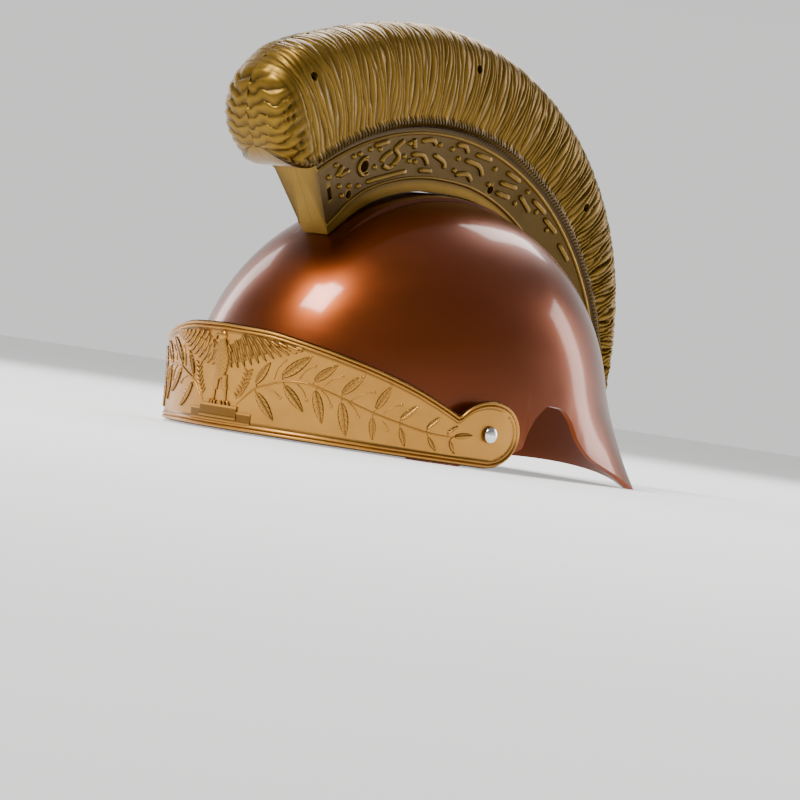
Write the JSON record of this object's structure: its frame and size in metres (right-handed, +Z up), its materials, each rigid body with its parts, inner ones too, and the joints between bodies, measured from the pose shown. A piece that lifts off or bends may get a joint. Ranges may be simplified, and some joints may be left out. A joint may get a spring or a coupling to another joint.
{
  "type": "gladiator helmet",
  "caption": "Moulded plastic costume helmet with an open ear cut-out on each side, a flared neck guard, a hinged visor with raised ornament and an arched ribbed crest.",
  "frame": {"origin": "on the table under the middle of the helmet's outer box", "axes": "+Z up from the table, -Y towards the front, +X towards the wearer's left"},
  "size_m": [0.185, 0.2778, 0.2006],
  "materials": {
    "crown": "glossy copper-brown metallic plastic",
    "visor": "satin gold metallic plastic with raised ornament",
    "rivet": "bright chrome",
    "crest": "satin antique gold plastic"
  },
  "bodies": {
    "helmet": {"crown": "crown", "crest_left": "crest", "crest_right": "crest", "rivet_left": "rivet", "rivet_right": "rivet"},
    "visor": {"visor": "visor"}
  },
  "joints": [
    {"name": "visor_hinge", "type": "hinge", "parent": "helmet", "child": "visor", "pos_m": [0, -0.04413, 0.0161], "axis": [-1, 0, 0], "range_deg": [0, 36]}
  ]
}
